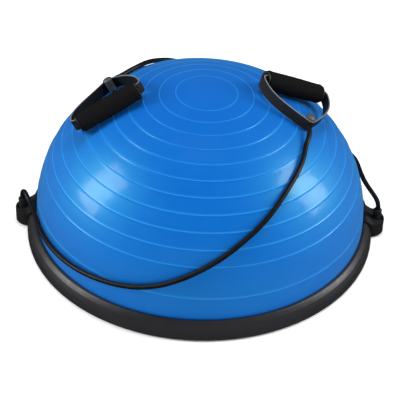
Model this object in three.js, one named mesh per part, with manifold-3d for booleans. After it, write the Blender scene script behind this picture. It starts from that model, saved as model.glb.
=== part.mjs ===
// Balance dome trainer: an inflated half ball clamped to a round base, with two elastic bands.
// Each band runs from a plug in one of the base's two ears, over the dome, to a foam hand grip.
// Millimetres, +Z up. The origin is on the floor, under the middle of the base; the ears lie on X.

import * as THREE from 'three';
import { mergeVertices } from 'three/addons/utils/BufferGeometryUtils.js';
import Module from 'manifold-3d';

const wasm = await Module();
wasm.setup();

// ---------- driving dimensions ----------

const SEGMENTS = 48;            // facets round the large turned parts
const SMALL_SEGMENTS = 16;      // facets round grips and plugs
const HOLE_SEGMENTS = 10;       // facets round screws and their holes
const GAP = 0.35;               // clearance between touching pieces

const BASE_RADIUS = 292;
const SKIRT_BOTTOM = 2;         // the rim's lowest edge, just above the floor
const RIM_HEIGHT = 31.5;

const DOME_RADIUS = 275;        // at the dome's widest circle
const DOME_WAIST = 35;          // height of that circle
const DOME_TOP = 270;
const DOME_POWER = 2.12;        // 2 would be an ellipse; a little more gives fuller shoulders
const DOME_WALL = 3;
const DOME_STEPS = 12;

const PLATE_BOTTOM = 3;
const PLATE_TOP = 8;
const PLATE_RADIUS = 290;
const RIB_TOP = 20;
const RIB_WIDTH = 3;
const RING_RIBS = [80, 172, 264];
const RADIAL_RIBS = 8;

const BEAD_RADIUS = 279.5;      // the bladder's thick edge, held in the rim's groove
const BEAD_TOP = 14;
const MEMBRANE = 2.5;

const FOOT_COUNT = 8;
const FOOT_CIRCLE = 245;
const FOOT_RADIUS = 16;
const FOOT_HEIGHT = 4.3;

const SCREW_CIRCLE = 285.3;
const RIM_SCREWS = 10;
const SCREW_SHANK = 2;
const SCREW_HEAD = 3.8;
const HEAD_BOTTOM = 3.3;
const HEAD_TOP = 5.4;
const RIM_SCREW_TIP = 18;
const EAR_SCREW_TIP = 28.2;
const EAR_SCREW_SPREAD = 13;    // from the ear's middle line

const EAR_CENTRE = 289.5;
const EAR_RADIUS = 23.5;
const EAR_INNER = 277;
const EAR_TOP = 25;
const SADDLE = 3.4;             // the ear's thickness where it lies over the rim
const SOCKET_CENTRE = 300.5;
const SOCKET_RADIUS = 7.7;
const SOCKET_STRETCH = 2.2;     // the socket is oval, so the plug can be rocked out
const SOCKET_FLOOR = 6;

const VALVE_HEIGHT = 43;
const VALVE_FLANGE = 10;
const VALVE_SLACK = 1.8;        // the wall leans in a little behind the inner flange
const VALVE_NECK = 6;
const VALVE_BORE = 3.8;

const CORD_RADIUS = 4;
const CORD_SIDES = 10;         // an even number
const CORD_STEPS = 48;
const CORD_BEND = 18;           // radius of the bend down into a plug
const CORD_STRAIGHT = 3;        // upright stretch above a plug
const CORD_LIFT = 5.2;          // cord's middle line above the dome's surface
const PLUG_RADIUS = 6.7;
const PLUG_TOP = 44;

const GRIP_RADIUS = 16;
const GRIP_LENGTH = 104;
const GRIP_LIFT = 1;            // grip's clearance above the dome
const FOAM_BORE = 12.95;
const TUBE_RADIUS = 12.6;
const TUBE_BORE = 11.5;
const CAP_BORE = 10.1;
const CAP_FLANGE = 14.6;
const CAP_THICKNESS = 2.2;
const CAP_SPIGOT = 10;

const WEBBING_WIDTH = 19;
const WEBBING_THICKNESS = 2.4;
const WEBBING_CORNER = 7.5;
const STOP_RADIUS = 7;
const STOP_CAP = 8.2;           // the stop's mushroom head, over the webbing's edge
const STOP_TOP = 15;
const STOP_BOTTOM = -9;

// Where the two hand grips lie on the dome. Azimuths and headings are in degrees from +X,
// heights in millimetres. reach is from the grip's axis to the webbing's tip, and skew is how
// far the tip is pulled along the grip.
const HANDLES = {
  a: { azimuth: 16.6, height: 240.4, heading: 199, dip: 11.5, reach: 87, skew: -4.5 },
  b: { azimuth: -169.1, height: 238.9, heading: 18, dip: 11.5, reach: 84, skew: 17 },
};

// The cords' routes where they lie on the dome, as [azimuth in degrees, height] of the surface
// under them, from the webbing's tip towards the ear.
const LAID_A = [
  [-24.5, 221], [-34, 214], [-41, 208], [-47.5, 201.5], [-54, 193], [-60, 183], [-66, 171.5],
  [-72, 159.5], [-78, 146], [-84, 131.5], [-90, 117.5], [-96, 103.5], [-102, 91], [-108, 81.5], [-114, 75],
  [-121, 70], [-128, 66], [-135, 63], [-143, 61], [-151, 60], [-159, 59.5],
];
const LAID_B = [
  [145, 228], [137, 228.5], [130, 226.5], [123, 219.5], [115, 208], [107, 194], [100.5, 176], [95, 155],
  [89.5, 133], [83, 112.5], [76, 95.5], [68.5, 82], [60.5, 72.5], [52.5, 66], [44.5, 63.5], [36.5, 65.5],
  [29, 72.5], [22.5, 81], [16, 87.5],
];

// The last stretches, free of the dome, before the bend down into each plug.
const FREE_A = [[-268.5, -75, 60], [-277, -51, 60.5], [-285, -31, 61.5]];
const FREE_B = [[273.5, 41, 81], [279, 28, 76.5]];

// ---------- helpers ----------

const radians = THREE.MathUtils.degToRad;

function polar(radius, degrees, height) {
  return new THREE.Vector3(radius * Math.cos(radians(degrees)), radius * Math.sin(radians(degrees)), height);
}

/** Keeps positions only, joins shared corners and drops triangles with no area. */
function weld(geometry) {
  const bare = geometry.clone();
  bare.deleteAttribute('normal');
  bare.deleteAttribute('uv');
  const merged = mergeVertices(bare, 1e-4);
  const corners = merged.index.array;
  const kept = [];
  for (let i = 0; i < corners.length; i += 3) {
    const [a, b, c] = [corners[i], corners[i + 1], corners[i + 2]];
    if (a !== b && b !== c && c !== a) kept.push(a, b, c);
  }
  merged.setIndex(kept);
  return merged;
}

function makeManifold(positions, triangles) {
  return new wasm.Manifold(new wasm.Mesh({
    numProp: 3,
    vertProperties: new Float32Array(positions),
    triVerts: new Uint32Array(triangles),
  }));
}

/** Turns a closed geometry into a solid, with its faces pointing out. */
function solid(geometry) {
  const welded = weld(geometry);
  const positions = welded.attributes.position.array;
  const triangles = Array.from(welded.index.array);
  const made = makeManifold(positions, triangles);
  if (made.volume() > 0) return made;
  for (let i = 0; i < triangles.length; i += 3) {
    [triangles[i], triangles[i + 1]] = [triangles[i + 1], triangles[i]];
  }
  return makeManifold(positions, triangles);
}

function geometryOf(made) {
  const { vertProperties, triVerts } = made.getMesh();
  const geometry = new THREE.BufferGeometry();
  geometry.setAttribute('position', new THREE.BufferAttribute(vertProperties, 3));
  geometry.setIndex(new THREE.BufferAttribute(triVerts, 1));
  geometry.computeVertexNormals();
  return geometry;
}

/** A solid turned about Z from [radius, height] points. */
function turned(points, segments = SEGMENTS) {
  const outline = points.map(([radius, height]) => new THREE.Vector2(radius, height));
  return solid(new THREE.LatheGeometry(outline, segments).rotateX(Math.PI / 2));
}

/** The same for a ring: the outline is closed back to its first point. */
function turnedRing(points, segments = SEGMENTS) {
  return turned([...points, points[0]], segments);
}

function cylinder(radius, bottom, top, x = 0, y = 0, segments = HOLE_SEGMENTS) {
  const geometry = new THREE.CylinderGeometry(radius, radius, top - bottom, segments);
  geometry.rotateX(Math.PI / 2).translate(x, y, (bottom + top) / 2);
  return solid(geometry);
}

function box(sizeX, sizeY, bottom, top, x = 0, y = 0) {
  return solid(new THREE.BoxGeometry(sizeX, sizeY, top - bottom).translate(x, y, (bottom + top) / 2));
}

const group = new THREE.Group();

function add(name, made, material, parent = group) {
  const mesh = new THREE.Mesh(geometryOf(made), material);
  mesh.name = name;
  parent.add(mesh);
  return mesh;
}

function finish(color, roughness, metalness = 0) {
  return new THREE.MeshStandardMaterial({ color, roughness, metalness });
}

const BLUE_VINYL = finish(0x1271ce, 0.3);
const GREY_PLASTIC = finish(0x3a3a3e, 0.5);
const BLACK_PLASTIC = finish(0x19191b, 0.45);
const BASE_PLASTIC = finish(0x232326, 0.6);
const RUBBER = finish(0x141414, 0.9);
const FOAM = finish(0x161618, 0.95);
const WEBBING = finish(0x4a4d50, 0.85);
const CORD = finish(0x0a0a0c, 0.5);
const MOULDED_GREY = finish(0x5c6064, 0.5);
const TUBE_PLASTIC = finish(0xbfc2c4, 0.4);
const STEEL = finish(0xb4b6b8, 0.35, 1);

// ---------- the dome's shape ----------

/** Points up the dome's side, from its widest circle to the top, inset by a wall. */
function domeCurve(inset) {
  const points = [];
  for (let i = 0; i <= DOME_STEPS; i++) {
    const angle = (Math.PI / 2) * (1 - i / DOME_STEPS);
    const radius = (DOME_RADIUS - inset) * Math.sin(angle) ** (2 / DOME_POWER);
    const rise = (DOME_TOP - DOME_WAIST - inset) * Math.cos(angle) ** (2 / DOME_POWER);
    points.push([i === DOME_STEPS ? 0 : radius, DOME_WAIST + (i === 0 ? 0 : rise)]);
  }
  return points;
}

/** The point on the dome's surface at an azimuth and a height, moved out along the normal. */
function onDome(azimuth, height, lift) {
  const level = Math.max(0, (height - DOME_WAIST) / (DOME_TOP - DOME_WAIST));
  const radius = DOME_RADIUS * (1 - level ** DOME_POWER) ** (1 / DOME_POWER);
  const outward = (radius / DOME_RADIUS) ** (DOME_POWER - 1) / DOME_RADIUS;
  const upward = level ** (DOME_POWER - 1) / (DOME_TOP - DOME_WAIST);
  const normal = polar(outward, azimuth, upward).normalize();
  return { point: polar(radius, azimuth, height).addScaledVector(normal, lift), normal };
}

// ---------- base ----------

function screwPlaces() {
  const places = [];
  for (let i = 0; i < RIM_SCREWS; i++) {
    const at = polar(SCREW_CIRCLE, (360 / RIM_SCREWS) * (i + 0.5), 0);
    places.push({ name: `rim_screw_${i + 1}`, x: at.x, y: at.y, tip: RIM_SCREW_TIP });
  }
  for (const [side, sign] of [['right', 1], ['left', -1]]) {
    for (const [which, offset] of [['front', -EAR_SCREW_SPREAD], ['back', EAR_SCREW_SPREAD]]) {
      const x = sign * Math.sqrt(SCREW_CIRCLE ** 2 - offset ** 2);
      places.push({ name: `ear_screw_${side}_${which}`, x, y: offset, tip: EAR_SCREW_TIP });
    }
  }
  return places;
}

function footPlaces() {
  return Array.from({ length: FOOT_COUNT }, (_, i) => polar(FOOT_CIRCLE, (360 / FOOT_COUNT) * (i + 0.5), 0));
}

/** Holes for every screw: a shank hole up to just past its tip, and a pocket for its head. */
function cutScrewHoles(made) {
  let cut = made;
  for (const { x, y, tip } of screwPlaces()) {
    cut = cut.subtract(cylinder(SCREW_SHANK + GAP, 0, tip + GAP, x, y));
    cut = cut.subtract(cylinder(SCREW_HEAD + GAP, 0, HEAD_TOP + GAP, x, y));
  }
  return cut;
}

/** The platform: a flat plate with ring ribs and radial ribs under the bladder. */
function basePlatform() {
  const outline = [[0, PLATE_BOTTOM], [PLATE_RADIUS, PLATE_BOTTOM], [PLATE_RADIUS, PLATE_TOP]];
  for (const rib of [...RING_RIBS].reverse()) {
    outline.push([rib + RIB_WIDTH, PLATE_TOP], [rib + RIB_WIDTH, RIB_TOP], [rib, RIB_TOP], [rib, PLATE_TOP]);
  }
  outline.push([0, PLATE_TOP]);
  let made = turned(outline);
  const first = RING_RIBS[0];
  const last = RING_RIBS.at(-1) + RIB_WIDTH / 2;
  for (let i = 0; i < RADIAL_RIBS; i++) {
    const rib = box(last - first, RIB_WIDTH, PLATE_TOP - 1, RIB_TOP, (first + last) / 2);
    made = made.add(rib.rotate([0, 0, (360 / RADIAL_RIBS) * i]));
  }
  for (const foot of footPlaces()) {
    made = made.subtract(cylinder(FOOT_RADIUS + GAP, 0, FOOT_HEIGHT + GAP, foot.x, foot.y, SMALL_SEGMENTS));
  }
  return cutScrewHoles(made);
}

/** The rim's outer face, from the skirt up and over to the dome, grown by a clearance. */
function rimFace(grow) {
  return [
    [BASE_RADIUS + grow, SKIRT_BOTTOM],
    [BASE_RADIUS - 0.4 + grow, 9],
    [BASE_RADIUS - 2.4 + grow, 17 + grow / 2],
    [BASE_RADIUS - 6 + grow * 0.7, 24.5 + grow * 0.7],
    [BASE_RADIUS - 10.8 + grow / 2, 30 + grow],
    [BASE_RADIUS - 13.8, RIM_HEIGHT + grow],
  ];
}

/** The rim clamps the bladder's bead down on the platform and covers the platform's edge. */
function rimRing() {
  const skirtInner = PLATE_RADIUS + GAP;
  const made = turnedRing([
    [DOME_RADIUS + GAP * 1.5, BEAD_TOP + GAP],
    [BEAD_RADIUS + GAP, BEAD_TOP + GAP],
    [BEAD_RADIUS + GAP, PLATE_TOP + GAP],
    [skirtInner, PLATE_TOP + GAP],
    [skirtInner, SKIRT_BOTTOM],
    ...rimFace(0),
    [DOME_RADIUS + GAP * 1.5, RIM_HEIGHT - 1.5],
  ]);
  return cutScrewHoles(made);
}

function screw(tip) {
  return turned([
    [0, HEAD_BOTTOM],
    [SCREW_HEAD, HEAD_BOTTOM],
    [SCREW_HEAD, HEAD_TOP],
    [SCREW_SHANK, HEAD_TOP],
    [SCREW_SHANK, tip],
    [0, tip],
  ], HOLE_SEGMENTS);
}

/** An ear: a rounded lug outside the rim, with a saddle over the rim and a socket for a plug. */
function ear() {
  const plan = new THREE.Shape();
  plan.moveTo(EAR_INNER - 5, -EAR_RADIUS);
  plan.lineTo(EAR_CENTRE, -EAR_RADIUS);
  plan.absarc(EAR_CENTRE, 0, EAR_RADIUS, -Math.PI / 2, Math.PI / 2, false);
  plan.lineTo(EAR_INNER - 5, EAR_RADIUS);
  const block = new THREE.ExtrudeGeometry(plan, { depth: 50, bevelEnabled: false, curveSegments: 16 });
  const envelope = turnedRing([
    [EAR_INNER, SKIRT_BOTTOM],
    [EAR_CENTRE + EAR_RADIUS + 5, SKIRT_BOTTOM],
    [EAR_CENTRE + EAR_RADIUS + 5, EAR_TOP],
    [BASE_RADIUS, EAR_TOP + 2.2],
    [BASE_RADIUS - 5, EAR_TOP + 6.5],
    [BASE_RADIUS - 10, RIM_HEIGHT + SADDLE],
    [EAR_INNER, RIM_HEIGHT + SADDLE],
  ]);
  const rimSpace = turnedRing([
    [EAR_INNER - 6, 0],
    [BASE_RADIUS + GAP, 0],
    ...rimFace(GAP),
    [EAR_INNER - 6, RIM_HEIGHT + GAP],
  ]);
  let made = solid(block).intersect(envelope).subtract(rimSpace);
  const far = SOCKET_CENTRE + SOCKET_STRETCH;
  for (const x of [SOCKET_CENTRE, far]) {
    made = made.subtract(cylinder(SOCKET_RADIUS, SOCKET_FLOOR, 50, x, 0, SMALL_SEGMENTS));
  }
  const apothem = SOCKET_RADIUS * Math.cos(Math.PI / SMALL_SEGMENTS);
  made = made.subtract(box(SOCKET_STRETCH, 2 * apothem, SOCKET_FLOOR, 50, (SOCKET_CENTRE + far) / 2));
  return cutScrewHoles(made);
}

// ---------- dome ----------

/** The bladder: a dome with a flat floor, hollow inside, and a thick bead round its foot. */
function domeBladder() {
  const floorBottom = RIB_TOP + GAP;
  const inner = DOME_RADIUS - DOME_WALL;
  const outside = turned([
    [0, floorBottom],
    [inner, floorBottom],
    [inner, PLATE_TOP + GAP],
    [BEAD_RADIUS, PLATE_TOP + GAP],
    [BEAD_RADIUS, BEAD_TOP],
    [DOME_RADIUS, BEAD_TOP],
    ...domeCurve(0),
  ]);
  const air = turned([
    [0, floorBottom + MEMBRANE],
    [inner, floorBottom + MEMBRANE],
    ...domeCurve(DOME_WALL),
  ]);
  const hole = cylinder(VALVE_NECK + GAP, DOME_RADIUS - 20, DOME_RADIUS + 20).rotate([-90, 0, 0]);
  return outside.subtract(air).subtract(hole.translate([0, 0, VALVE_HEIGHT]));
}

/** Places a part that was turned about Z so that it points backwards, along +Y, at the valve. */
function atValve(made) {
  return made.rotate([-90, 0, 0]).translate([0, 0, VALVE_HEIGHT]);
}

/** The valve's bush: a neck through the wall, with a flange on each side of it. */
function valveSeat() {
  const outer = DOME_RADIUS + 2 * GAP;
  const inner = DOME_RADIUS - DOME_WALL - VALVE_SLACK;
  return atValve(turnedRing([
    [VALVE_BORE, inner - 2],
    [VALVE_FLANGE - 1, inner - 2],
    [VALVE_FLANGE - 1, inner],
    [VALVE_NECK, inner],
    [VALVE_NECK, outer],
    [VALVE_FLANGE, outer],
    [VALVE_FLANGE - 0.8, outer + 1.8],
    [VALVE_BORE, outer + 1.8],
  ], SMALL_SEGMENTS));
}

/** The plug: a short ribbed stem under a round cap that is pulled out backwards. */
function valvePlug() {
  const face = DOME_RADIUS + 2 * GAP + 1.8 + GAP;
  const stem = VALVE_BORE - GAP;
  return atValve(turned([
    [0, face - 15],
    [stem - 1, face - 15],
    [stem, face - 13],
    [stem - 0.5, face - 9],
    [stem, face - 8],
    [stem, face],
    [6.8, face],
    [6.8, face + 1.2],
    [5.4, face + 2.2],
    [0, face + 2.2],
  ], SMALL_SEGMENTS));
}

// ---------- bands ----------

/** A matrix that places a handle: X along the grip, Y towards the webbing's tip, Z off the dome. */
function handlePlace({ azimuth, height, heading, dip }) {
  const { point, normal } = onDome(azimuth, height, GRIP_RADIUS + GRIP_LIFT);
  const along = polar(1, heading, 0);
  along.addScaledVector(normal, -along.dot(normal)).normalize();
  const across = new THREE.Vector3().crossVectors(normal, along);
  const tilt = new THREE.Matrix4().makeRotationAxis(along, -radians(dip));
  across.applyMatrix4(tilt);
  normal.applyMatrix4(tilt);
  return new THREE.Matrix4().makeBasis(along, across, normal).setPosition(point);
}

/** The webbing's middle line: through the grip, round each end and out to the tip. */
function webbingPath({ reach, skew }) {
  const end = GRIP_LENGTH / 2 + CAP_THICKNESS + 0.8;
  const corner = WEBBING_CORNER;
  const bend = STOP_RADIUS + GAP + WEBBING_THICKNESS / 2;
  const tipY = reach - bend;
  const lean = Math.atan2(0.8, 0.6);
  const right = { x: skew + bend * Math.cos(lean), y: tipY + bend * Math.sin(lean) };
  const left = { x: skew - bend * Math.cos(lean), y: right.y };
  const pull = (x) => Math.hypot(x - skew, tipY) * 0.36;
  const rightPull = pull(end + corner);
  const leftPull = pull(-end - corner);
  const path = new THREE.Path();
  path.moveTo(0, 0);
  path.lineTo(end, 0);
  path.absarc(end, corner, corner, -Math.PI / 2, 0, false);
  path.bezierCurveTo(
    end + corner, corner + rightPull,
    right.x + 0.8 * rightPull, right.y - 0.6 * rightPull,
    right.x, right.y,
  );
  path.absarc(skew, tipY, bend, lean, Math.PI - lean, false);
  path.bezierCurveTo(
    left.x - 0.8 * leftPull, left.y - 0.6 * leftPull,
    -end - corner, corner + leftPull,
    -end - corner, corner,
  );
  path.absarc(-end, corner, corner, Math.PI, 1.5 * Math.PI, false);
  return path.getPoints(6);
}

/** A closed loop of points moved sideways; a positive distance is outwards. */
function offsetLoop(points, distance) {
  return points.map((point, i) => {
    const before = points[(i + points.length - 1) % points.length];
    const after = points[(i + 1) % points.length];
    const along = new THREE.Vector2().subVectors(after, before).normalize();
    return new THREE.Vector2(point.x + along.y * distance, point.y - along.x * distance);
  });
}

/** The flat webbing stands on its edge: a closed ribbon with a hole for the cord at its tip. */
function webbingLoop(handle) {
  const middle = webbingPath(handle);
  const shape = new THREE.Shape(offsetLoop(middle, WEBBING_THICKNESS / 2));
  shape.holes.push(new THREE.Path(offsetLoop(middle, -WEBBING_THICKNESS / 2)));
  const geometry = new THREE.ExtrudeGeometry(shape, { depth: WEBBING_WIDTH, bevelEnabled: false });
  const ribbon = solid(geometry.translate(0, 0, -WEBBING_WIDTH / 2));
  const hole = cylinder(CORD_RADIUS + 2 * GAP, -6, 6).rotate([-90, 0, 0]);
  return ribbon.subtract(hole.translate([handle.skew, handle.reach, 0]));
}

/** The moulded post inside the webbing's tip, which anchors the cord under its round head. */
function cordStop({ reach, skew }) {
  const bend = STOP_RADIUS + GAP + WEBBING_THICKNESS / 2;
  const post = turned([
    [0, STOP_BOTTOM],
    [STOP_RADIUS - 1, STOP_BOTTOM],
    [STOP_RADIUS, STOP_BOTTOM + 1],
    [STOP_RADIUS, STOP_TOP - 5],
    [STOP_CAP, STOP_TOP - 5],
    [STOP_CAP, STOP_TOP - 3.2],
    [STOP_CAP - 2, STOP_TOP - 1.2],
    [STOP_CAP - 5, STOP_TOP - 0.2],
    [0, STOP_TOP],
  ], SMALL_SEGMENTS);
  return post.translate([skew, reach - bend, 0]);
}

/** A part turned about Z, laid along the grip's axis, X. */
function alongGrip(made) {
  return made.rotate([0, 90, 0]);
}

function foamSleeve() {
  const half = GRIP_LENGTH / 2;
  return alongGrip(turnedRing([
    [FOAM_BORE, -half],
    [GRIP_RADIUS - 1.5, -half],
    [GRIP_RADIUS, -half + 2],
    [GRIP_RADIUS, half - 2],
    [GRIP_RADIUS - 1.5, half],
    [FOAM_BORE, half],
  ], SMALL_SEGMENTS));
}

function coreTube() {
  const half = GRIP_LENGTH / 2;
  return alongGrip(turnedRing([
    [TUBE_BORE, -half],
    [TUBE_RADIUS, -half],
    [TUBE_RADIUS, half],
    [TUBE_BORE, half],
  ], SMALL_SEGMENTS));
}

/** An end cap: a flange against the foam and a spigot inside the core tube. */
function endCap(sign) {
  const half = GRIP_LENGTH / 2 + GAP;
  const cap = turnedRing([
    [CAP_BORE, half - CAP_SPIGOT],
    [TUBE_BORE - GAP, half - CAP_SPIGOT],
    [TUBE_BORE - GAP, half],
    [CAP_FLANGE, half],
    [CAP_FLANGE, half + CAP_THICKNESS - 0.8],
    [CAP_FLANGE - 0.8, half + CAP_THICKNESS],
    [CAP_BORE, half + CAP_THICKNESS],
  ], SMALL_SEGMENTS);
  return alongGrip(sign > 0 ? cap : cap.rotate([180, 0, 0]));
}

/** The plug on the cord's end, which stands in an ear's socket. */
function cordPlug(sign) {
  return turned([
    [0, SOCKET_FLOOR + GAP],
    [PLUG_RADIUS - 0.8, SOCKET_FLOOR + GAP],
    [PLUG_RADIUS, SOCKET_FLOOR + 2],
    [PLUG_RADIUS, PLUG_TOP - 7],
    [PLUG_RADIUS + 0.5, PLUG_TOP - 6],
    [PLUG_RADIUS + 0.5, PLUG_TOP - 1.5],
    [PLUG_RADIUS - 1, PLUG_TOP],
    [0, PLUG_TOP],
  ], SMALL_SEGMENTS).translate([sign * SOCKET_CENTRE, 0, 0]);
}

/** Points on the bend by which a cord turns down into its plug's top. */
function bendIntoPlug(from, top) {
  const side = new THREE.Vector3(from.x - top.x, from.y - top.y, 0).normalize();
  const slope = Math.atan2(from.z - top.z - CORD_BEND, Math.hypot(from.x - top.x, from.y - top.y) - CORD_BEND);
  const points = [];
  for (let step = 0; step <= 4; step++) {
    const turn = slope + (Math.PI / 2 - slope) * (step / 4);
    const point = top.clone().addScaledVector(side, CORD_BEND * (1 - Math.sin(turn)));
    point.z += CORD_BEND * Math.cos(turn);
    points.push(point);
  }
  return points;
}

/** The cord's middle line, from the stop in the webbing's tip to the top of its plug. */
function cordRoute(handle, laid, free, sign) {
  const place = handlePlace(handle);
  const tip = (beyond) => new THREE.Vector3(handle.skew, handle.reach + beyond, 0).applyMatrix4(place);
  const onSurface = laid.map(([azimuth, height]) => onDome(azimuth, height, CORD_LIFT).point);
  const inAir = free.map(([x, y, z]) => new THREE.Vector3(x, y, z));
  const plug = new THREE.Vector3(sign * SOCKET_CENTRE, 0, PLUG_TOP + GAP);
  const leaving = new THREE.QuadraticBezierCurve3(tip(-WEBBING_THICKNESS / 2), tip(15), onSurface[0]);
  return new THREE.CatmullRomCurve3([
    ...leaving.getPoints(4),
    ...onSurface.slice(1),
    ...inAir,
    ...bendIntoPlug(inAir.at(-1), plug.clone().setZ(plug.z + CORD_STRAIGHT)),
    plug,
  ]);
}

function elasticCord(route) {
  const section = new THREE.Shape();
  section.absarc(0, 0, CORD_RADIUS, 0, 2 * Math.PI, false);
  return solid(new THREE.ExtrudeGeometry(section, {
    steps: CORD_STEPS,
    curveSegments: CORD_SIDES / 2,
    extrudePath: route,
  }));
}

function addBand(letter, laid, free, sign) {
  const handle = HANDLES[letter];
  const held = new THREE.Group();
  handlePlace(handle).decompose(held.position, held.quaternion, held.scale);
  group.add(held);
  add(`webbing_${letter}`, webbingLoop(handle), WEBBING, held);
  add(`cord_stop_${letter}`, cordStop(handle), MOULDED_GREY, held);
  add(`foam_grip_${letter}`, foamSleeve(), FOAM, held);
  add(`core_tube_${letter}`, coreTube(), TUBE_PLASTIC, held);
  add(`grip_cap_${letter}_1`, endCap(1), BLACK_PLASTIC, held);
  add(`grip_cap_${letter}_2`, endCap(-1), BLACK_PLASTIC, held);
  add(`cord_${letter}`, elasticCord(cordRoute(handle, laid, free, sign)), CORD);
  add(`cord_plug_${letter}`, cordPlug(sign), RUBBER);
}

// ---------- assembly ----------

add('base_platform', basePlatform(), BASE_PLASTIC);
add('rim_ring', rimRing(), GREY_PLASTIC);
add('dome_bladder', domeBladder(), BLUE_VINYL);
add('valve_seat', valveSeat(), RUBBER);
add('valve_plug', valvePlug(), BLACK_PLASTIC);
add('ear_right', ear(), BLACK_PLASTIC);
add('ear_left', ear().rotate([0, 0, 180]), BLACK_PLASTIC);

footPlaces().forEach((foot, i) => {
  add(`foot_pad_${i + 1}`, cylinder(FOOT_RADIUS, 0, FOOT_HEIGHT, foot.x, foot.y, SMALL_SEGMENTS), RUBBER);
});

for (const { name, x, y, tip } of screwPlaces()) {
  add(name, screw(tip).translate([x, y, 0]), STEEL);
}

addBand('a', LAID_A, FREE_A, -1);
addBand('b', LAID_B, FREE_B, 1);

export default group;
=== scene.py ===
"""Balance dome trainer: the looks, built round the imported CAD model. Metres, +Z up, floor at z = 0."""

import math

import bpy
from mathutils import Matrix, Vector


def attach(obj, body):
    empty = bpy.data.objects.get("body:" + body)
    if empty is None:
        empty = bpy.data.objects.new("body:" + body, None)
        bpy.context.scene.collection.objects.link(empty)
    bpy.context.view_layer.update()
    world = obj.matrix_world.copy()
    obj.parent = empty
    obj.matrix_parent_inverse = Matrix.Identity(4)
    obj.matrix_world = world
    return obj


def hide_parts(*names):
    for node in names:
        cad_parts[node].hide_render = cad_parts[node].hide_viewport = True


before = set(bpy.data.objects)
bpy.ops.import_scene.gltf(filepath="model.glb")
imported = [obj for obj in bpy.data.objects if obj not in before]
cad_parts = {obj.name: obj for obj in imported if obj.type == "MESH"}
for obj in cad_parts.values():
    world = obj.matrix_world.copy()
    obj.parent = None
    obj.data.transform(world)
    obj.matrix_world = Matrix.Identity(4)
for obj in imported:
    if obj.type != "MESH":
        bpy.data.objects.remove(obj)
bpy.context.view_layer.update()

MM = 0.001

# ---------- driving sizes, as in the CAD model ----------

BASE_RADIUS = 292 * MM
RIM_HEIGHT = 31.5 * MM
RIM_LEDGE = 14.4 * MM
RIM_BORE = 290.4 * MM
DOME_RADIUS = 275 * MM
DOME_WAIST = 35 * MM
DOME_TOP = 270 * MM
DOME_POWER = 2.12
DOME_FOOT = 10 * MM
GAP = 0.35 * MM

EAR_CENTRE = 289.5 * MM
EAR_RADIUS = 23.5 * MM
EAR_INNER = 277 * MM
EAR_TOP = 25 * MM
SADDLE = 3.4 * MM
SOCKET_CENTRE = 300.5 * MM
SOCKET_RADIUS = 7.7 * MM
SOCKET_STRETCH = 2.2 * MM
SOCKET_FLOOR = 6 * MM

VALVE_HEIGHT = 43 * MM

CORD_RADIUS = 4 * MM
CORD_BEND = 18 * MM
CORD_STRAIGHT = 3 * MM
CORD_LIFT = 5.2 * MM
CORD_LEAD = 15 * MM
PLUG_RADIUS = 6.7 * MM
PLUG_TOP = 44 * MM

GRIP_RADIUS = 16 * MM
GRIP_LENGTH = 104 * MM
GRIP_LIFT = 1 * MM
CAP_FLANGE = 14.6 * MM
CAP_BORE = 10.1 * MM
CAP_THICKNESS = 2.2 * MM
SPIGOT_RADIUS = 11.1 * MM
SPIGOT_LENGTH = 10 * MM
WEBBING_WIDTH = 19 * MM
WEBBING_THICKNESS = 2.4 * MM
WEBBING_CORNER = 7.5 * MM
STOP_RADIUS = 7 * MM
STOP_CAP = 8.2 * MM
STOP_TOP = 15 * MM
STOP_BOTTOM = -9 * MM

# Raised rings on the dome, numbered by arc length from the top.
RING_STEP = 26.8 * MM
FIRST_RING = 50 * MM
RINGS = [0, 1, 2, 3, 4, 5, 6, 7, 8, 9, 10, 12]
RING_HEIGHT = 0.5 * MM
RING_WIDTH = 0.75 * MM
RING_LEAN = 1.2                 # degrees by which the dome's upper part, with its rings, leans towards +X
LEAN_BLEND = 40 * MM            # height above the waist over which the lean comes in
RING_SPACING = 0.35 * MM        # between the outline's points on a ring
SMOOTH_SPACING = 3.5 * MM       # and between rings
OUTLINE_STEPS = 6000

ROUND = 192                     # segments round the large turned pieces
SMALL_ROUND = 64

# Where the hand grips lie on the dome: azimuth, heading and dip in degrees.
HANDLES = {
    "a": {"azimuth": 16.6, "height": 0.2404, "heading": 199, "dip": 11.5, "reach": 0.087, "skew": -0.0045},
    "b": {"azimuth": -169.1, "height": 0.2389, "heading": 18, "dip": 11.5, "reach": 0.084, "skew": 0.017},
}

# The cords' routes: [azimuth in degrees, height] of the dome's surface under them, then free points.
LAID_A = [
    [-24.5, 0.221], [-34, 0.214], [-41, 0.208], [-47.5, 0.2015], [-54, 0.193], [-60, 0.183], [-66, 0.1715],
    [-72, 0.1595], [-78, 0.146], [-84, 0.1315], [-90, 0.1175], [-96, 0.1035], [-102, 0.091], [-108, 0.0815],
    [-114, 0.075], [-121, 0.07], [-128, 0.066], [-135, 0.063], [-143, 0.061], [-151, 0.06], [-159, 0.0595],
]
LAID_B = [
    [145, 0.228], [137, 0.2285], [130, 0.2265], [123, 0.2195], [115, 0.208], [107, 0.194], [100.5, 0.176],
    [95, 0.155], [89.5, 0.133], [83, 0.1125], [76, 0.0955], [68.5, 0.082], [60.5, 0.0725], [52.5, 0.066],
    [44.5, 0.0635], [36.5, 0.0655], [29, 0.0725], [22.5, 0.081], [16, 0.0875],
]
FREE_A = [[-0.2685, -0.075, 0.06], [-0.277, -0.051, 0.0605], [-0.285, -0.031, 0.0615]]
FREE_B = [[0.2735, 0.041, 0.081], [0.279, 0.028, 0.0765]]


# ---------- camera, floor and light ----------

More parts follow.
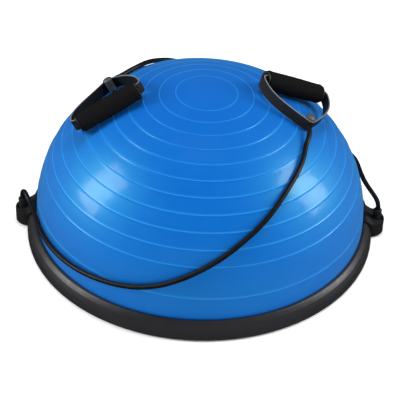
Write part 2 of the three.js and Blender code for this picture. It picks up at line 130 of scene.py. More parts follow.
def add_camera():
    """Looks along +Y, down at the dome, with a slight roll."""
    distance = 2.363
    elevation = math.radians(37.9)
    roll = math.radians(1.88)
    target = Vector((-0.0005, 0, 0.0505))
    back = Vector((0, -math.cos(elevation), math.sin(elevation)))
    up = Vector((0, math.sin(elevation), math.cos(elevation)))
    right = Vector((1, 0, 0))
    rolled_right = right * math.cos(roll) + up * math.sin(roll)
    rolled_up = up * math.cos(roll) - right * math.sin(roll)
    data = bpy.data.cameras.new("camera")
    data.lens = 126
    data.sensor_width = 36
    data.clip_end = 50
    camera = bpy.data.objects.new("camera", data)
    place = Matrix((rolled_right, rolled_up, back)).transposed().to_4x4()
    place.translation = target + back * distance
    camera.matrix_world = place
    bpy.context.scene.collection.objects.link(camera)
    bpy.context.scene.camera = camera


def add_softbox(name, place, aim, width, height, power):
    data = bpy.data.lights.new(name, "AREA")
    data.shape = "RECTANGLE"
    data.size = width
    data.size_y = height
    data.energy = power
    light = bpy.data.objects.new(name, data)
    light.location = place
    light.rotation_euler = (Vector(aim) - Vector(place)).to_track_quat("-Z", "Y").to_euler()
    bpy.context.scene.collection.objects.link(light)
    return light


def add_world():
    world = bpy.data.worlds.new("studio")
    world.use_nodes = True
    background = world.node_tree.nodes["Background"]
    background.inputs["Color"].default_value = (1, 1, 1, 1)
    background.inputs["Strength"].default_value = 0.4
    bpy.context.scene.world = world
    world.cycles_visibility.glossy = False


def add_studio():
    add_world()
    bpy.context.scene.view_settings.view_transform = "Standard"
    add_softbox("key_left", (-2.1, -0.2, 1.2), (0, 0, 0.12), 0.8, 1.5, 42)
    add_softbox("key_right", (2.1, 0.1, 1.2), (0, 0, 0.12), 0.8, 1.5, 42)
    overhead = add_softbox("overhead", (0, 0.3, 2.5), (0, 0, 0.1), 1.0, 0.8, 38)
    overhead.visible_glossy = False
    front = add_softbox("front", (0, -2.6, 0.7), (0, 0, 0.05), 2.4, 0.9, 34)
    front.visible_glossy = False
    bpy.ops.mesh.primitive_plane_add(size=14)
    floor = bpy.context.object
    floor.name = "floor"
    floor.data.materials.append(floor_paper())
    floor.visible_glossy = False


# ---------- material helpers ----------

class Shader:
    """A Principled material with a few short-cuts for its node tree."""

    def __init__(self, name, roughness, specular=0.5, sheen=0.0, coat=0.0, coat_roughness=0.1, metallic=0.0):
        self.material = bpy.data.materials.new(name)
        self.material.use_nodes = True
        self.nodes = self.material.node_tree.nodes
        self.links = self.material.node_tree.links
        self.surface = self.nodes["Principled BSDF"]
        self.surface.inputs["Roughness"].default_value = roughness
        self.surface.inputs["Specular IOR Level"].default_value = specular
        self.surface.inputs["Sheen Weight"].default_value = sheen
        self.surface.inputs["Coat Weight"].default_value = coat
        self.surface.inputs["Coat Roughness"].default_value = coat_roughness
        self.surface.inputs["Metallic"].default_value = metallic

    def node(self, kind, **values):
        made = self.nodes.new(kind)
        for key, value in values.items():
            setattr(made, key, value)
        return made

    def link(self, source, target):
        self.links.new(source, target)

    def coordinates(self, output="Object"):
        return self.node("ShaderNodeTexCoord").outputs[output]

    def noise(self, scale, detail=3.0, roughness=0.55, source=None):
        made = self.node("ShaderNodeTexNoise")
        made.inputs["Scale"].default_value = scale
        made.inputs["Detail"].default_value = detail
        made.inputs["Roughness"].default_value = roughness
        self.link(source or self.coordinates(), made.inputs["Vector"])
        return made.outputs["Fac"]

    def voronoi(self, scale, source=None):
        made = self.node("ShaderNodeTexVoronoi")
        made.inputs["Scale"].default_value = scale
        self.link(source or self.coordinates(), made.inputs["Vector"])
        return made.outputs["Distance"]

    def ramp(self, value, stops):
        made = self.node("ShaderNodeValToRGB")
        elements = made.color_ramp.elements
        for element, (position, color) in zip(elements, (stops[0], stops[-1])):
            element.position = position
            element.color = (*color, 1)
        for position, color in stops[1:-1]:
            elements.new(position).color = (*color, 1)
        self.link(value, made.inputs["Fac"])
        return made.outputs["Color"]

    def spread(self, value, low, high, from_low=0.3, from_high=0.7):
        made = self.node("ShaderNodeMapRange")
        made.inputs["From Min"].default_value = from_low
        made.inputs["From Max"].default_value = from_high
        made.inputs["To Min"].default_value = low
        made.inputs["To Max"].default_value = high
        self.link(value, made.inputs["Value"])
        return made.outputs["Result"]

    def math(self, operation, first, second=None):
        made = self.node("ShaderNodeMath", operation=operation)
        for socket, value in zip(made.inputs, (first, second)):
            if value is None:
                continue
            if isinstance(value, (int, float)):
                socket.default_value = value
            else:
                self.link(value, socket)
        return made.outputs["Value"]

    def color(self, value):
        self.link(value, self.surface.inputs["Base Color"])

    def mottle(self, scale, detail, dark, pale):
        """A base colour that drifts between two shades."""
        self.color(self.ramp(self.noise(scale, detail), [(0.3, dark), (0.7, pale)]))

    def uneven_roughness(self, scale, detail, low, high):
        self.link(self.spread(self.noise(scale, detail), low, high), self.surface.inputs["Roughness"])

    def bump(self, height, distance, strength=1.0):
        made = self.node("ShaderNodeBump")
        made.inputs["Distance"].default_value = distance
        made.inputs["Strength"].default_value = strength
        self.link(height, made.inputs["Height"])
        self.link(made.outputs["Normal"], self.surface.inputs["Normal"])


def floor_paper():
    shader = Shader("floor_paper", 0.9, specular=0.1)
    shader.mottle(3, 2, (0.9, 0.9, 0.9), (0.93, 0.93, 0.93))
    return shader.material


def blue_vinyl():
    """Glossy PVC film with a faint orange-peel skin; it shines cyan, and its raised rings get a painted
    highlight, a paler blue base colour on their crests.
    """
    shader = Shader("blue_vinyl", 0.5, specular=1.0, sheen=0.1, coat=0.3, coat_roughness=0.16)
    shader.surface.inputs["Specular Tint"].default_value = (0.1, 1, 0.8, 1)
    shader.surface.inputs["Sheen Tint"].default_value = (0.3, 0.9, 1, 1)
    skin = shader.ramp(shader.noise(5, 3), [(0.3, (0.0002, 0.08, 0.39)), (0.7, (0.0004, 0.09, 0.42))])
    # painted highlight: the ring crests are mixed towards a paler blue, standing in for the light the raised
    # rings catch
    mix = shader.node("ShaderNodeMix", data_type="RGBA")
    ridge_highlight = shader.node("ShaderNodeAttribute", attribute_name="ridge_highlight")
    shader.link(ridge_highlight.outputs["Fac"], mix.inputs["Factor"])
    shader.link(skin, mix.inputs["A"])
    mix.inputs["B"].default_value = (0.01, 0.17, 0.56, 1)
    shader.color(mix.outputs["Result"])
    shader.uneven_roughness(40, 4, 0.44, 0.54)
    shader.bump(shader.noise(420, 2), 0.00003)
    return shader.material


def rim_plastic():
    """Satin dark grey moulding with a fine spark-eroded grain."""
    shader = Shader("rim_plastic", 0.4, specular=0.5)
    shader.mottle(9, 4, (0.014, 0.014, 0.017), (0.018, 0.018, 0.021))
    shader.uneven_roughness(60, 4, 0.34, 0.46)
    shader.bump(shader.noise(1500, 2), 0.00006)
    return shader.material


def black_plastic():
    """Grained black moulding."""
    shader = Shader("black_plastic", 0.5, specular=0.45)
    shader.mottle(30, 4, (0.006, 0.006, 0.0065), (0.010, 0.010, 0.011))
    shader.uneven_roughness(120, 4, 0.42, 0.6)
    shader.bump(shader.voronoi(1400), 0.0001)
    return shader.material


def base_plastic():
    shader = Shader("base_plastic", 0.6, specular=0.4)
    shader.mottle(12, 4, (0.016, 0.016, 0.018), (0.024, 0.024, 0.026))
    shader.uneven_roughness(50, 4, 0.5, 0.7)
    shader.bump(shader.noise(900, 3), 0.00015)
    return shader.material


def soft_rubber():
    shader = Shader("soft_rubber", 0.75, specular=0.35)
    shader.mottle(60, 3, (0.006, 0.006, 0.006), (0.011, 0.011, 0.011))
    shader.uneven_roughness(160, 3, 0.6, 0.82)
    shader.bump(shader.noise(1800, 2), 0.00008)
    return shader.material


def grip_foam():
    """Closed-cell foam: matt, with fine pores and a faint wave where hands have pressed it."""
    shader = Shader("grip_foam", 0.95, specular=0.06)
    pores = shader.voronoi(1100)
    shader.color(shader.ramp(pores, [(0.05, (0.002, 0.002, 0.0022)), (0.5, (0.006, 0.006, 0.0065))]))
    waves = shader.noise(45, 3)
    shader.bump(shader.math("ADD", shader.math("MULTIPLY", waves, 1.5), pores), 0.0003)
    return shader.material


def woven_webbing():
    """Doubled woven tape. UV runs in metres: U along the tape, V across it; a pale painted highlight runs
    along both its edges.
    """
    shader = Shader("woven_webbing", 0.5, specular=0.25)
    split = shader.node("ShaderNodeSeparateXYZ")
    shader.link(shader.coordinates("UV"), split.inputs["Vector"])
    along = split.outputs["X"]
    across = split.outputs["Y"]
    warp = shader.math("SINE", shader.math("MULTIPLY", across, 2 * math.pi / (1.3 * MM)))
    weft = shader.math("SINE", shader.math("MULTIPLY", along, 2 * math.pi / (1.1 * MM)))
    weave = shader.math("MULTIPLY", warp, weft)
    tape_shades = [(0, (0.004, 0.0042, 0.0045)), (1, (0.013, 0.0135, 0.0145))]
    tape = shader.ramp(shader.spread(weave, 0, 1, -1, 1), tape_shades)
    # painted highlight: a pale grey, threaded by the weft, along both edges of the tape, standing in for
    # light catching its edges
    edge_highlight = shader.ramp(shader.spread(weft, 0, 1, -1, 1), [(0, (0.13, 0.14, 0.14)), (1, (0.26, 0.27, 0.28))])
    at_edge = shader.spread(shader.math("ABSOLUTE", across), 0, 1, WEBBING_WIDTH / 2 - 0.6 * MM,
                            WEBBING_WIDTH / 2 - 0.25 * MM)
    mix = shader.node("ShaderNodeMix", data_type="RGBA")
    shader.link(at_edge, mix.inputs["Factor"])
    shader.link(tape, mix.inputs["A"])
    shader.link(edge_highlight, mix.inputs["B"])
    shader.color(mix.outputs["Result"])
    shader.bump(weave, 0.00015)
    return shader.material


def elastic_cord():
    """Smooth latex tube with a faint haze along it."""
    shader = Shader("elastic_cord", 0.4, specular=0.22)
    shader.mottle(70, 3, (0.003, 0.003, 0.0035), (0.007, 0.007, 0.008))
    shader.uneven_roughness(220, 3, 0.34, 0.52)
    shader.bump(shader.noise(700, 2), 0.00006)
    return shader.material


def moulded_grey():
    shader = Shader("moulded_grey", 0.45, specular=0.5)
    shader.mottle(80, 3, (0.045, 0.05, 0.047), (0.06, 0.066, 0.062))
    shader.uneven_roughness(200, 3, 0.38, 0.52)
    shader.bump(shader.noise(1300, 2), 0.00008)
    return shader.material


def tube_plastic():
    shader = Shader("tube_plastic", 0.4, specular=0.5)
    shader.mottle(50, 3, (0.45, 0.46, 0.47), (0.52, 0.53, 0.54))
    shader.uneven_roughness(150, 3, 0.33, 0.47)
    return shader.material


def zinc_steel():
    shader = Shader("zinc_steel", 0.3, metallic=1.0)
    shader.mottle(300, 4, (0.45, 0.46, 0.48), (0.6, 0.61, 0.63))
    shader.uneven_roughness(500, 4, 0.24, 0.42)
    return shader.material


# ---------- mesh helpers ----------

def make_piece(name, vertices, faces, material, body, crease=40):
    mesh = bpy.data.meshes.new(name)
    mesh.from_pydata([tuple(v) for v in vertices], [], faces)
    mesh.validate()
    mesh.update()
    mesh.shade_smooth()
    mesh.set_sharp_from_angle(angle=math.radians(crease))
    mesh.materials.append(material)
    piece = bpy.data.objects.new(name, mesh)
    bpy.context.scene.collection.objects.link(piece)
    if body:
        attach(piece, body)
    return piece


def softened(outline, radius, closed=False, steps=4):
    """Rounds the corners of an outline with short curves."""
    points = [Vector(p) for p in outline]
    count = len(points)
    made = []
    for i, corner in enumerate(points):
        if not closed and i in (0, count - 1):
            made.append(corner)
            continue
        before = points[i - 1] - corner
        after = points[(i + 1) % count] - corner
        start = corner + before.normalized() * min(radius, before.length * 0.45)
        end = corner + after.normalized() * min(radius, after.length * 0.45)
        for k in range(steps + 1):
            t = k / steps
            made.append(start * (1 - t) ** 2 + corner * 2 * t * (1 - t) + end * t ** 2)
    return [(p.x, p.y) for p in made]


def revolve(outline, segments, closed=False, place=None):
    """Vertices and faces of an outline of (radius, height) points turned about Z."""
    place = place or Matrix.Identity(4)
    vertices = []
    rings = []
    for radius, height in outline:
        if radius < 1e-7:
            rings.append([len(vertices)])
            vertices.append(place @ Vector((0, 0, height)))
            continue
        rings.append(list(range(len(vertices), len(vertices) + segments)))
        for i in range(segments):
            angle = 2 * math.pi * i / segments
            vertices.append(place @ Vector((radius * math.cos(angle), radius * math.sin(angle), height)))
    pairs = list(zip(rings, rings[1:]))
    if closed:
        pairs.append((rings[-1], rings[0]))
    faces = []
    for low, high in pairs:
        for i in range(segments):
            j = (i + 1) % segments
            corners = [low[i % len(low)], low[j % len(low)], high[j % len(high)], high[i % len(high)]]
            face = list(dict.fromkeys(corners))
            if len(face) > 2:
                faces.append(face)
    return vertices, faces


def turned(name, outline, material, body, segments=SMALL_ROUND, closed=False, place=None, crease=40):
    vertices, faces = revolve(outline, segments, closed, place)
    return make_piece(name, vertices, faces, material, body, crease)


def apply_modifiers(piece):
    graph = bpy.context.evaluated_depsgraph_get()
    mesh = bpy.data.meshes.new_from_object(piece.evaluated_get(graph))
    piece.modifiers.clear()
    piece.data = mesh


def carve(piece, cutter, operation):
    """Applies a boolean with another object, which is then removed."""
    modifier = piece.modifiers.new("carve", "BOOLEAN")
    modifier.operation = operation
    modifier.solver = "EXACT"
    modifier.object = cutter
    apply_modifiers(piece)
    bpy.data.objects.remove(cutter)


# ---------- the dome's shape ----------

def dome_profile(angle, inset=0.0):
    """Radius and height of the dome's surface; angle is 0 at the top and pi/2 at the waist."""
    radius = (DOME_RADIUS - inset) * max(0.0, math.sin(angle)) ** (2 / DOME_POWER)
    rise = (DOME_TOP - DOME_WAIST - inset) * max(0.0, math.cos(angle)) ** (2 / DOME_POWER)
    return radius, DOME_WAIST + rise


def on_dome(azimuth, height, lift):
    """The point on the dome at an azimuth and a height, moved out along the normal, and the normal."""
    level = max(0.0, (height - DOME_WAIST) / (DOME_TOP - DOME_WAIST))
    radius = DOME_RADIUS * (1 - level ** DOME_POWER) ** (1 / DOME_POWER)
    outward = (radius / DOME_RADIUS) ** (DOME_POWER - 1) / DOME_RADIUS
    upward = level ** (DOME_POWER - 1) / (DOME_TOP - DOME_WAIST)
    turn = math.radians(azimuth)
    side = Vector((math.cos(turn), math.sin(turn), 0))
    normal = (side * outward + Vector((0, 0, upward))).normalized()
    return side * radius + Vector((0, 0, height)) + normal * lift, normal


def ring_lift(arc):
    """How far the surface stands out at this arc length from the top, because of the raised rings."""
    height = 0.0
    for ring in RINGS:
        away = (arc - FIRST_RING - ring * RING_STEP) / RING_WIDTH
        height += RING_HEIGHT * math.exp(-away * away)
    return height


def ridge_amounts(vertices):
    """1 on the crest of a raised ring and 0 between rings, for each vertex of the turned dome."""
    amounts = []
    arc = 0.0
    before = (0.0, DOME_TOP)
    for radius, height in dome_outline():
        arc += math.hypot(radius - before[0], height - before[1])
        before = (radius, height)
        amounts += [ring_lift(arc) / RING_HEIGHT] * (1 if radius < 1e-7 else ROUND)
    return amounts[:len(vertices)]


def dome_outline():
    """Fine points down the dome, with its raised rings, then the straight foot under the rim."""
    coarse = [dome_profile(math.pi / 2 * i / OUTLINE_STEPS) for i in range(OUTLINE_STEPS + 1)]
    outline = [(0.0, DOME_TOP)]
    arc = 0.0
    taken = 0.0
    for (r0, z0), (r1, z1) in zip(coarse, coarse[1:]):
        step = math.hypot(r1 - r0, z1 - z0)
        arc += step
        spacing = RING_SPACING if ring_lift(arc) > 0.002 * MM else SMOOTH_SPACING
        if arc - taken < spacing:
            continue
        taken = arc
        lift = ring_lift(arc)
        outline.append((r1 + lift * (z0 - z1) / step, z1 + lift * (r1 - r0) / step))
    outline.append((DOME_RADIUS, DOME_WAIST))
    outline.append((DOME_RADIUS, DOME_FOOT))
    return outline


def leaned(point):
    """Leans the upper part of the dome a little, as an inflated bladder settles."""
    amount = min(1.0, max(0.0, (point.z - DOME_WAIST) / LEAN_BLEND))
    angle = math.radians(RING_LEAN) * amount * amount * (3 - 2 * amount)
    pivot = Vector((0, 0, DOME_WAIST))
    return pivot + Matrix.Rotation(angle, 3, "Y") @ (point - pivot)


def add_dome(material):
    vertices, faces = revolve(dome_outline(), ROUND)
    vertices = [leaned(v) for v in vertices]
    dome = make_piece("dome", vertices, faces, material, "base", crease=80)
    # crest amounts of the raised rings, which the dome's material uses for its painted highlight
    ridge_highlight = dome.data.attributes.new("ridge_highlight", "FLOAT", "POINT")
    for vertex, value in zip(ridge_highlight.data, ridge_amounts(vertices)):
        vertex.value = value
    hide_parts("dome_bladder")


# ---------- base ----------

def rim_face(grow):
    return [
        (BASE_RADIUS + grow, 2 * MM),
        (BASE_RADIUS - 0.4 * MM + grow, 9 * MM),
        (BASE_RADIUS - 2.4 * MM + grow, 17 * MM + grow / 2),
        (BASE_RADIUS - 6 * MM + grow * 0.7, 24.5 * MM + grow * 0.7),
        (BASE_RADIUS - 10.8 * MM + grow / 2, 30 * MM + grow),
        (BASE_RADIUS - 13.8 * MM, RIM_HEIGHT + grow),
    ]


def add_rim(material):
    outline = rim_face(0) + [
        (DOME_RADIUS + 0.9 * MM, RIM_HEIGHT - 0.4 * MM),
        (DOME_RADIUS + 0.5 * MM, RIM_HEIGHT - 2 * MM),
        (DOME_RADIUS + 0.5 * MM, RIM_LEDGE),
        (RIM_BORE, RIM_LEDGE),
        (RIM_BORE, 2 * MM),
    ]
    rim = turned("rim", softened(outline, 1.6 * MM, closed=True), material, "base",
                 segments=ROUND, closed=True, crease=50)
    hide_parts("rim_ring")


def slab(name, outline, bottom, top):
    """A plain upright solid with this outline, for carving."""
    count = len(outline)
    vertices = [(x, y, bottom) for x, y in outline] + [(x, y, top) for x, y in outline]
    faces = [list(range(count))[::-1], list(range(count, 2 * count))]
    for i in range(count):
        j = (i + 1) % count
        faces.append([i, j, count + j, count + i])
    return make_piece(name, vertices, faces, None, None)


def arc_points(x, y, radius, start, end, steps):
    turns = [math.radians(start + (end - start) * k / steps) for k in range(steps + 1)]
    return [(x + radius * math.cos(t), y + radius * math.sin(t)) for t in turns]


def ear_body(name):
    inner = EAR_INNER - 5 * MM
    lobe = arc_points(EAR_CENTRE, 0, EAR_RADIUS, -90, 90, 48)
    ear = slab(name, [(inner, -EAR_RADIUS)] + lobe + [(inner, EAR_RADIUS)], 0, 50 * MM)
    far = EAR_CENTRE + EAR_RADIUS + 5 * MM
    envelope = [
        (EAR_INNER, 2 * MM), (far, 2 * MM), (far, EAR_TOP), (BASE_RADIUS, EAR_TOP + 2.2 * MM),
        (BASE_RADIUS - 5 * MM, EAR_TOP + 6.5 * MM), (BASE_RADIUS - 10 * MM, RIM_HEIGHT + SADDLE),
        (EAR_INNER, RIM_HEIGHT + SADDLE),
    ]
    shape = softened(envelope, 3 * MM, closed=True)
    carve(ear, turned("ear_envelope", shape, None, None, segments=ROUND, closed=True), "INTERSECT")
    under = [(EAR_INNER - 6 * MM, -2 * MM), (BASE_RADIUS + GAP, -2 * MM)] + rim_face(GAP)
    under.append((EAR_INNER - 6 * MM, RIM_HEIGHT + GAP))
    carve(ear, turned("ear_under", under, None, None, segments=ROUND, closed=True), "DIFFERENCE")
    socket = arc_points(SOCKET_CENTRE + SOCKET_STRETCH, 0, SOCKET_RADIUS, -90, 90, 32)
    socket += arc_points(SOCKET_CENTRE, 0, SOCKET_RADIUS, 90, 270, 32)
    carve(ear, slab("ear_socket", socket, SOCKET_FLOOR, 60 * MM), "DIFFERENCE")
    return ear


def add_ear(side, turn, material):
    ear = ear_body(f"ear_{side}_body")
    bevel = ear.modifiers.new("edges", "BEVEL")
    bevel.width = 0.9 * MM
    bevel.segments = 3
    bevel.limit_method = "ANGLE"
    bevel.angle_limit = math.radians(35)
    apply_modifiers(ear)
    ear.data.transform(Matrix.Rotation(math.radians(turn), 4, "Z"))
    ear.data.shade_smooth()
    ear.data.set_sharp_from_angle(angle=math.radians(38))
    ear.data.materials.clear()
    ear.data.materials.append(material)
    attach(ear, "base")
    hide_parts(f"ear_{side}")


def add_valve(rubber, plastic):
    back = Matrix.Translation((0, 0, VALVE_HEIGHT)) @ Matrix.Rotation(math.radians(-90), 4, "X")
    outer = DOME_RADIUS + 2 * GAP
    seat = [
        (3.8 * MM, outer - 6 * MM), (6 * MM, outer - 6 * MM), (6 * MM, outer), (10 * MM, outer),
        (9.2 * MM, outer + 1.8 * MM), (3.8 * MM, outer + 1.8 * MM),
    ]
    ring = turned("valve_ring", softened(seat, 0.6 * MM, closed=True), rubber, "base",
                  closed=True, place=back)
    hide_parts("valve_seat")
    face = outer + 1.8 * MM + GAP
    plug = [
        (0, face - 15 * MM), (2.4 * MM, face - 15 * MM), (3.4 * MM, face - 13 * MM),
        (2.9 * MM, face - 9 * MM),
        (3.4 * MM, face - 8 * MM), (3.4 * MM, face), (6.8 * MM, face), (6.8 * MM, face + 1.2 * MM),
        (5.4 * MM, face + 2.2 * MM), (3.5 * MM, face + 1.9 * MM), (0, face + 1.8 * MM),
    ]
    cap = turned("valve_cap", softened(plug, 0.5 * MM), plastic, "valve_plug", place=back)
    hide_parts("valve_plug")


# ---------- bands ----------

def handle_place(handle):
    """A matrix that places a handle: X along the grip, Y towards the webbing's tip, Z off the dome."""
    point, normal = on_dome(handle["azimuth"], handle["height"], GRIP_RADIUS + GRIP_LIFT)
    turn = math.radians(handle["heading"])
    along = Vector((math.cos(turn), math.sin(turn), 0))
    along = (along - normal * along.dot(normal)).normalized()
    across = normal.cross(along)
    tilt = Matrix.Rotation(-math.radians(handle["dip"]), 3, along)
    place = Matrix((along, tilt @ across, tilt @ normal)).transposed().to_4x4()
    place.translation = point
    return place


def bezier(start, control_a, control_b, end, steps):
    points = []
    for k in range(steps + 1):
        t = k / steps
        s = 1 - t
        points.append(start * s ** 3 + control_a * 3 * s * s * t + control_b * 3 * s * t * t + end * t ** 3)
    return points


def webbing_path(handle):
    """The webbing's middle line, a closed loop: through the grip, round each end, out to the tip."""
    end = GRIP_LENGTH / 2 + CAP_THICKNESS + 0.8 * MM
    corner = WEBBING_CORNER
    bend = STOP_RADIUS + GAP + WEBBING_THICKNESS / 2
    skew = handle["skew"]
    tip = handle["reach"] - bend
    lean = math.degrees(math.atan2(0.8, 0.6))
    side = bend * 0.6
    right = Vector((skew + side, tip + bend * 0.8))
    left = Vector((skew - side, tip + bend * 0.8))
    pull_right = math.hypot(end + corner - skew, tip) * 0.36
    pull_left = math.hypot(-end - corner - skew, tip) * 0.36
    path = [Vector((0, 0))]
    path += [Vector(p) for p in arc_points(end, corner, corner, -90, 0, 10)]
    path += bezier(
        Vector((end + corner, corner)), Vector((end + corner, corner + pull_right)),
        right + Vector((0.8, -0.6)) * pull_right, right, 24,
    )[1:]
    path += [Vector(p) for p in arc_points(skew, tip, bend, lean, 180 - lean, 10)][1:]
    path += bezier(
        left, left + Vector((-0.8, -0.6)) * pull_left,
        Vector((-end - corner, corner + pull_left)), Vector((-end - corner, corner)), 24,
    )[1:]
    path += [Vector(p) for p in arc_points(-end, corner, corner, 180, 270, 10)][1:]
    return path


def webbing_section():
    """The doubled tape's cross-section, as [across the width, out of the loop]; a groove parts its edges."""
    half = WEBBING_WIDTH / 2
    layer = WEBBING_THICKNESS / 2
    upper = [
        (-half + 1.1 * MM, 0), (-half + 0.12 * MM, layer * 0.3), (-half, layer * 0.58),
        (-half + 0.15 * MM, layer * 0.85), (-half + 0.6 * MM, layer), (-half + 3 * MM, layer), (0, layer),
    ]
    upper += [(-a, o) for a, o in reversed(upper[:-1])]
    lower = [(a, -o) for a, o in reversed(upper[1:-1])]
    return upper + lower


def add_webbing(letter, handle, place, material):
    path = webbing_path(handle)
    section = webbing_section()
    count = len(path)
    ring = len(section)
    vertices = []
    lengths = [0.0]
    for i, point in enumerate(path):
        along = (path[(i + 1) % count] - path[i - 1]).normalized()
        out = Vector((along.y, -along.x))
        for across, lift in section:
            flat = point + out * lift
            vertices.append(place @ Vector((flat.x, flat.y, across)))
        lengths.append(lengths[-1] + (path[(i + 1) % count] - point).length)
    faces = []
    for i in range(count):
        for k in range(ring):
            low = i * ring
            high = (i + 1) % count * ring
            faces.append([low + k, low + (k + 1) % ring, high + (k + 1) % ring, high + k])
    piece = make_piece(f"webbing_tape_{letter}", vertices, faces, material, f"band_{letter}", 60)
    uv = piece.data.uv_layers.new(name="tape")
    for face in piece.data.polygons:
        span, k = divmod(face.index, ring)
        for corner, (row, column) in zip(face.loop_indices, ((0, 0), (0, 1), (1, 1), (1, 0))):
            uv.data[corner].uv = (lengths[span + row], section[(k + column) % ring][0])
    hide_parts(f"webbing_{letter}")


def add_stop(letter, handle, place, material):
    tip = handle["reach"] - (STOP_RADIUS + GAP + WEBBING_THICKNESS / 2)
    outline = [
        (0, STOP_BOTTOM), (STOP_RADIUS - 0.6 * MM, STOP_BOTTOM), (STOP_RADIUS, STOP_BOTTOM + 1 * MM),
        (STOP_RADIUS, STOP_TOP - 5 * MM), (STOP_CAP, STOP_TOP - 5 * MM), (STOP_CAP, STOP_TOP - 3.2 * MM),
        (STOP_CAP - 2 * MM, STOP_TOP - 1.2 * MM), (STOP_CAP - 5 * MM, STOP_TOP - 0.2 * MM), (0, STOP_TOP),
    ]
    where = place @ Matrix.Translation((handle["skew"], tip, 0))
    stop = turned(f"stop_post_{letter}", softened(outline, 1 * MM), material, f"band_{letter}",
                  place=where, crease=60)
    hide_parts(f"cord_stop_{letter}")


def add_foam(letter, place, material):
    half = GRIP_LENGTH / 2
    inner = 12.95 * MM
    edge = 3 * MM
    outline = [(inner, -half), (GRIP_RADIUS - edge, -half)]
    outline += [(GRIP_RADIUS - edge + edge * math.sin(t), -half + edge - edge * math.cos(t))
                for t in (0.4, 0.8, 1.2, 1.57)]
    steps = 40
    for k in range(1, steps):
        height = -half + edge + (GRIP_LENGTH - 2 * edge) * k / steps
        waist = 0.25 * MM * math.cos(math.pi * height / half) - 0.25 * MM
        outline.append((GRIP_RADIUS + waist, height))
    outline += [(r, -h) for r, h in reversed(outline[:6])]
    lying = place @ Matrix.Rotation(math.radians(90), 4, "Y")
    foam = turned(f"foam_sleeve_{letter}", outline, material, f"grip_{letter}",
                  closed=True, place=lying, crease=60)
    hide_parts(f"foam_grip_{letter}")


def add_cap(letter, number, place, material):
    start = GRIP_LENGTH / 2 + GAP
    outline = [
        (CAP_BORE, start - SPIGOT_LENGTH), (SPIGOT_RADIUS, start - SPIGOT_LENGTH), (SPIGOT_RADIUS, start),
        (CAP_FLANGE, start),
        (CAP_FLANGE, start + CAP_THICKNESS), (CAP_BORE, start + CAP_THICKNESS),
    ]
    turn = 90 if number == 1 else -90
    lying = place @ Matrix.Rotation(math.radians(turn), 4, "Y")
    cap = turned(f"end_cap_{letter}_{number}", softened(outline, 0.8 * MM, closed=True), material,
                 f"grip_{letter}", closed=True, place=lying)
    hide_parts(f"grip_cap_{letter}_{number}")


def catmull_rom(points, steps):
    """Centripetal Catmull-Rom curve through the points."""
    ends = [points[0] * 2 - points[1]] + points + [points[-1] * 2 - points[-2]]
    path = []
    for a, b, c, d in zip(ends, ends[1:], ends[2:], ends[3:]):
        ta = math.sqrt((b - a).length)
        tb = math.sqrt((c - b).length)
        tc = math.sqrt((d - c).length)
        leave = ((b - a) / ta - (c - a) / (ta + tb) + (c - b) / tb) * tb
        arrive = ((c - b) / tb - (d - b) / (tb + tc) + (d - c) / tc) * tb
        for k in range(steps):
            t = k / steps
            path.append(
                b * (2 * t ** 3 - 3 * t ** 2 + 1) + leave * (t ** 3 - 2 * t ** 2 + t)
                + c * (3 * t ** 2 - 2 * t ** 3) + arrive * (t ** 3 - t ** 2)
            )
    return path + [points[-1]]


def bend_into_plug(start, top):
    """Points on the bend by which a cord turns down into its plug's top."""
    side = Vector((start.x - top.x, start.y - top.y, 0))
    slope = math.atan2(start.z - top.z - CORD_BEND, side.length - CORD_BEND)
    side.normalize()
    points = []
    for step in range(5):
        turn = slope + (math.pi / 2 - slope) * step / 4
        offset = side * CORD_BEND * (1 - math.sin(turn)) + Vector((0, 0, CORD_BEND * math.cos(turn)))
        points.append(top + offset)
    return points


def cord_route(handle, place, laid, free, sign):
    """The cord's middle line, from the stop in the webbing's tip to the top of its plug."""
    def tip(beyond):
        return place @ Vector((handle["skew"], handle["reach"] + beyond, 0))

    surface = [on_dome(azimuth, height, CORD_LIFT)[0] for azimuth, height in laid]
    air = [Vector(p) for p in free]
    plug = Vector((sign * SOCKET_CENTRE, 0, PLUG_TOP + GAP))
    leaving = []
    for k in range(5):
        t = k / 4
        leaving.append(tip(-WEBBING_THICKNESS / 2) * (1 - t) ** 2 + tip(CORD_LEAD) * 2 * t * (1 - t)
                       + surface[0] * t ** 2)
    bend = bend_into_plug(air[-1], plug + Vector((0, 0, CORD_STRAIGHT)))
    return catmull_rom(leaving + surface[1:] + air + bend + [plug], 8)


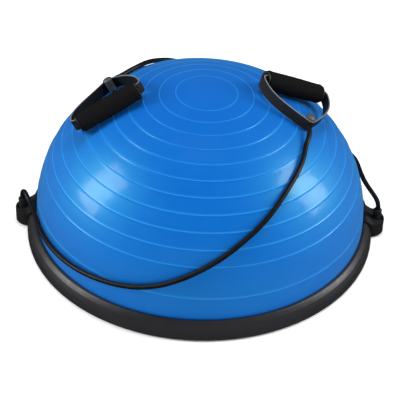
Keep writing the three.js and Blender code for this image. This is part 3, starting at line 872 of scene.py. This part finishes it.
def add_plug(letter, sign, material):
    low = SOCKET_FLOOR + GAP
    outline = [(0, low), (PLUG_RADIUS - 0.8 * MM, low), (PLUG_RADIUS, low + 1.6 * MM)]
    outline += [(PLUG_RADIUS, PLUG_TOP - 7 * MM), (PLUG_RADIUS + 0.5 * MM, PLUG_TOP - 6 * MM)]
    outline += [(PLUG_RADIUS + 0.5 * MM, PLUG_TOP - 1.5 * MM), (PLUG_RADIUS - 1 * MM, PLUG_TOP)]
    outline += [(CORD_RADIUS + 0.2 * MM, PLUG_TOP), (CORD_RADIUS + 0.2 * MM, PLUG_TOP - 2 * MM)]
    outline += [(0, PLUG_TOP - 2 * MM)]
    where = Matrix.Translation((sign * SOCKET_CENTRE, 0, 0))
    plug = turned(f"end_plug_{letter}", softened(outline, 0.7 * MM), material, f"band_{letter}",
                  place=where, crease=60)
    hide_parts(f"cord_plug_{letter}")
    return plug


def add_cord(letter, path, material):
    data = bpy.data.curves.new(f"elastic_{letter}", "CURVE")
    data.dimensions = "3D"
    data.bevel_depth = CORD_RADIUS
    data.bevel_resolution = 6
    data.use_fill_caps = True
    spline = data.splines.new("POLY")
    spline.points.add(len(path) - 1)
    for point, place in zip(spline.points, path):
        point.co = (*place, 1)
    spline.use_smooth = True
    data.materials.append(material)
    cord = bpy.data.objects.new(f"elastic_{letter}", data)
    bpy.context.scene.collection.objects.link(cord)
    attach(cord, f"band_{letter}")
    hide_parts(f"cord_{letter}")


# ---------- making it ----------

add_camera()

RUBBER = soft_rubber()
CORD = elastic_cord()
BLACK = black_plastic()
FOAM = grip_foam()
TAPE = woven_webbing()
GREY_STOP = moulded_grey()
TUBE = tube_plastic()
BASE = base_plastic()
STEEL = zinc_steel()

for letter, laid, free, sign in (("a", LAID_A, FREE_A, -1), ("b", LAID_B, FREE_B, 1)):
    handle = HANDLES[letter]
    place = handle_place(handle)
    plug = add_plug(letter, sign, RUBBER)
    add_cord(letter, cord_route(handle, place, laid, free, sign), CORD)
    add_webbing(letter, handle, place, TAPE)
    add_stop(letter, handle, place, GREY_STOP)
    add_foam(letter, place, FOAM)
    add_cap(letter, 1, place, BLACK)
    add_cap(letter, 2, place, BLACK)

add_dome(blue_vinyl())
add_rim(rim_plastic())
add_ear("right", 0, BLACK)
add_ear("left", 180, BLACK)
add_valve(RUBBER, BLACK)


def finish_for(node):
    if node.startswith(("rim_screw", "ear_screw")):
        return STEEL
    if node.startswith("foot_pad"):
        return RUBBER
    if node.startswith("core_tube"):
        return TUBE
    return BASE


for node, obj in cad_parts.items():
    if obj.data.materials:
        obj.data.materials[0] = finish_for(node)
    else:
        obj.data.materials.append(finish_for(node))

add_studio()
